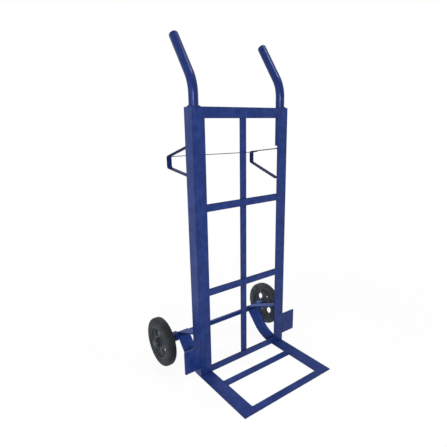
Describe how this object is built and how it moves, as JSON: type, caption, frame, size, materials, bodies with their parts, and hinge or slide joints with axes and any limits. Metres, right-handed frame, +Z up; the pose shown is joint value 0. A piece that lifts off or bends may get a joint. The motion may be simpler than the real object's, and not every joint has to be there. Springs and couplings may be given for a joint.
{
  "type": "two-wheeled hand truck",
  "caption": "Upright painted-steel hand truck with an angle-and-flat-bar lattice back, bent tube handles, an open toe frame and solid-tyred wheels on a fixed axle.",
  "frame": {"origin": "on the floor, under the middle of the whole truck's box", "axes": "+X to the right seen from the front, +Y from the toe towards the wheels, +Z up"},
  "size_m": [0.5876, 0.497, 1.1429],
  "materials": {
    "frame_paint": "satin blue enamel",
    "rod_steel": "dull galvanised",
    "tyre_rubber": "matte black rubber",
    "wheel_casting": "black-painted casting",
    "bush_bronze": "turned bronze",
    "washer_steel": "blackened",
    "cap_plastic": "matte black"
  },
  "bodies": {
    "frame": {"left_stile": "frame_paint", "right_stile": "frame_paint", "top_crossbar": "frame_paint", "upper_crossbar": "frame_paint", "lower_crossbar": "frame_paint", "bottom_crossbar": "frame_paint", "centre_bar": "frame_paint", "left_handle_tube": "frame_paint", "right_handle_tube": "frame_paint", "left_handle_cap": "frame_paint", "right_handle_cap": "frame_paint", "left_rear_rest": "frame_paint", "right_rear_rest": "frame_paint", "left_runner": "frame_paint", "right_runner": "frame_paint", "toe_middle_bar": "frame_paint", "toe_front_bar": "frame_paint", "left_axle_strut": "frame_paint", "right_axle_strut": "frame_paint", "left_wheel_guard": "frame_paint", "right_wheel_guard": "frame_paint", "axle": "frame_paint", "left_thrust_collar": "frame_paint", "right_thrust_collar": "frame_paint", "rest_tie_rod": "rod_steel", "left_axle_washer": "washer_steel", "left_axle_cap": "cap_plastic", "right_axle_washer": "washer_steel", "right_axle_cap": "cap_plastic"},
    "left_wheel": {"left_tyre": "tyre_rubber", "left_wheel_centre": "wheel_casting", "left_hub_bush": "bush_bronze"},
    "right_wheel": {"right_tyre": "tyre_rubber", "right_wheel_centre": "wheel_casting", "right_hub_bush": "bush_bronze"}
  },
  "joints": [
    {"name": "left_wheel_spin", "type": "hinge", "parent": "frame", "child": "left_wheel", "pos_m": [-0.256, 0.1585, 0.09], "axis": [1, 0, 0], "continuous": true},
    {"name": "right_wheel_spin", "type": "hinge", "parent": "frame", "child": "right_wheel", "pos_m": [0.256, 0.1585, 0.09], "axis": [1, 0, 0], "continuous": true}
  ]
}
